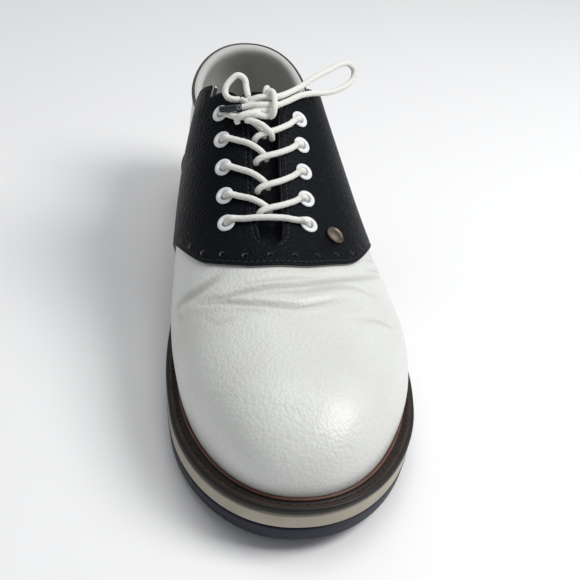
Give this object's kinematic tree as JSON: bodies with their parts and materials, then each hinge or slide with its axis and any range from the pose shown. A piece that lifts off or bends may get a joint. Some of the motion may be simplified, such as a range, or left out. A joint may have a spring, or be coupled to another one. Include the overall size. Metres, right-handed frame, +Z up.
{
  "type": "saddle shoe",
  "caption": "Low lace-up saddle shoe for the left foot, standing empty: white pebbled leather, a dark blue saddle with round eyelets, a welted layered sole and a tied round lace.",
  "frame": {"origin": "on the floor, under the middle of the sole's outline, with the free ends and loops of the lace left out", "axes": "+X towards the outer side of the foot, +Y towards the heel (the toe points to -Y), +Z up"},
  "size_m": [0.1096, 0.3018, 0.1197],
  "materials": {
    "outsole_rubber": "matt, fine texture",
    "midsole_foam": "matt, lightly soiled",
    "welt_leather": "satin, stitched",
    "footbed_textile": "matt knit",
    "white_leather": "pebbled, satin",
    "navy_leather": "pebbled, satin",
    "binding_textile": "matt",
    "eyelet_enamel": "smooth, semi-gloss",
    "stud_metal": "aged, pale",
    "lace_cord": "waxed braid",
    "lace_tip": "smooth"
  },
  "bodies": {
    "root": {"outsole": "outsole_rubber", "midsole": "midsole_foam", "welt": "welt_leather", "insole": "footbed_textile", "upper": "white_leather", "saddle": "navy_leather", "collar_binding": "binding_textile", "tongue": "navy_leather", "stud": "stud_metal", "lace_bar": "lace_cord", "eyelet_inner_1": "eyelet_enamel", "eyelet_inner_2": "eyelet_enamel", "eyelet_inner_3": "eyelet_enamel", "eyelet_inner_4": "eyelet_enamel", "eyelet_inner_5": "eyelet_enamel", "eyelet_outer_1": "eyelet_enamel", "eyelet_outer_2": "eyelet_enamel", "eyelet_outer_3": "eyelet_enamel", "eyelet_outer_4": "eyelet_enamel", "eyelet_outer_5": "eyelet_enamel", "lace_crossing_1": "lace_cord", "lace_crossing_2": "lace_cord", "lace_crossing_3": "lace_cord", "lace_crossing_4": "lace_cord", "lace_knot": "lace_cord", "lace_loop_inner": "lace_cord", "lace_loop_outer": "lace_cord", "lace_end_inner": "lace_cord", "lace_tip_inner": "lace_tip", "lace_end_outer": "lace_cord", "lace_tip_outer": "lace_tip"}
  },
  "joints": []
}
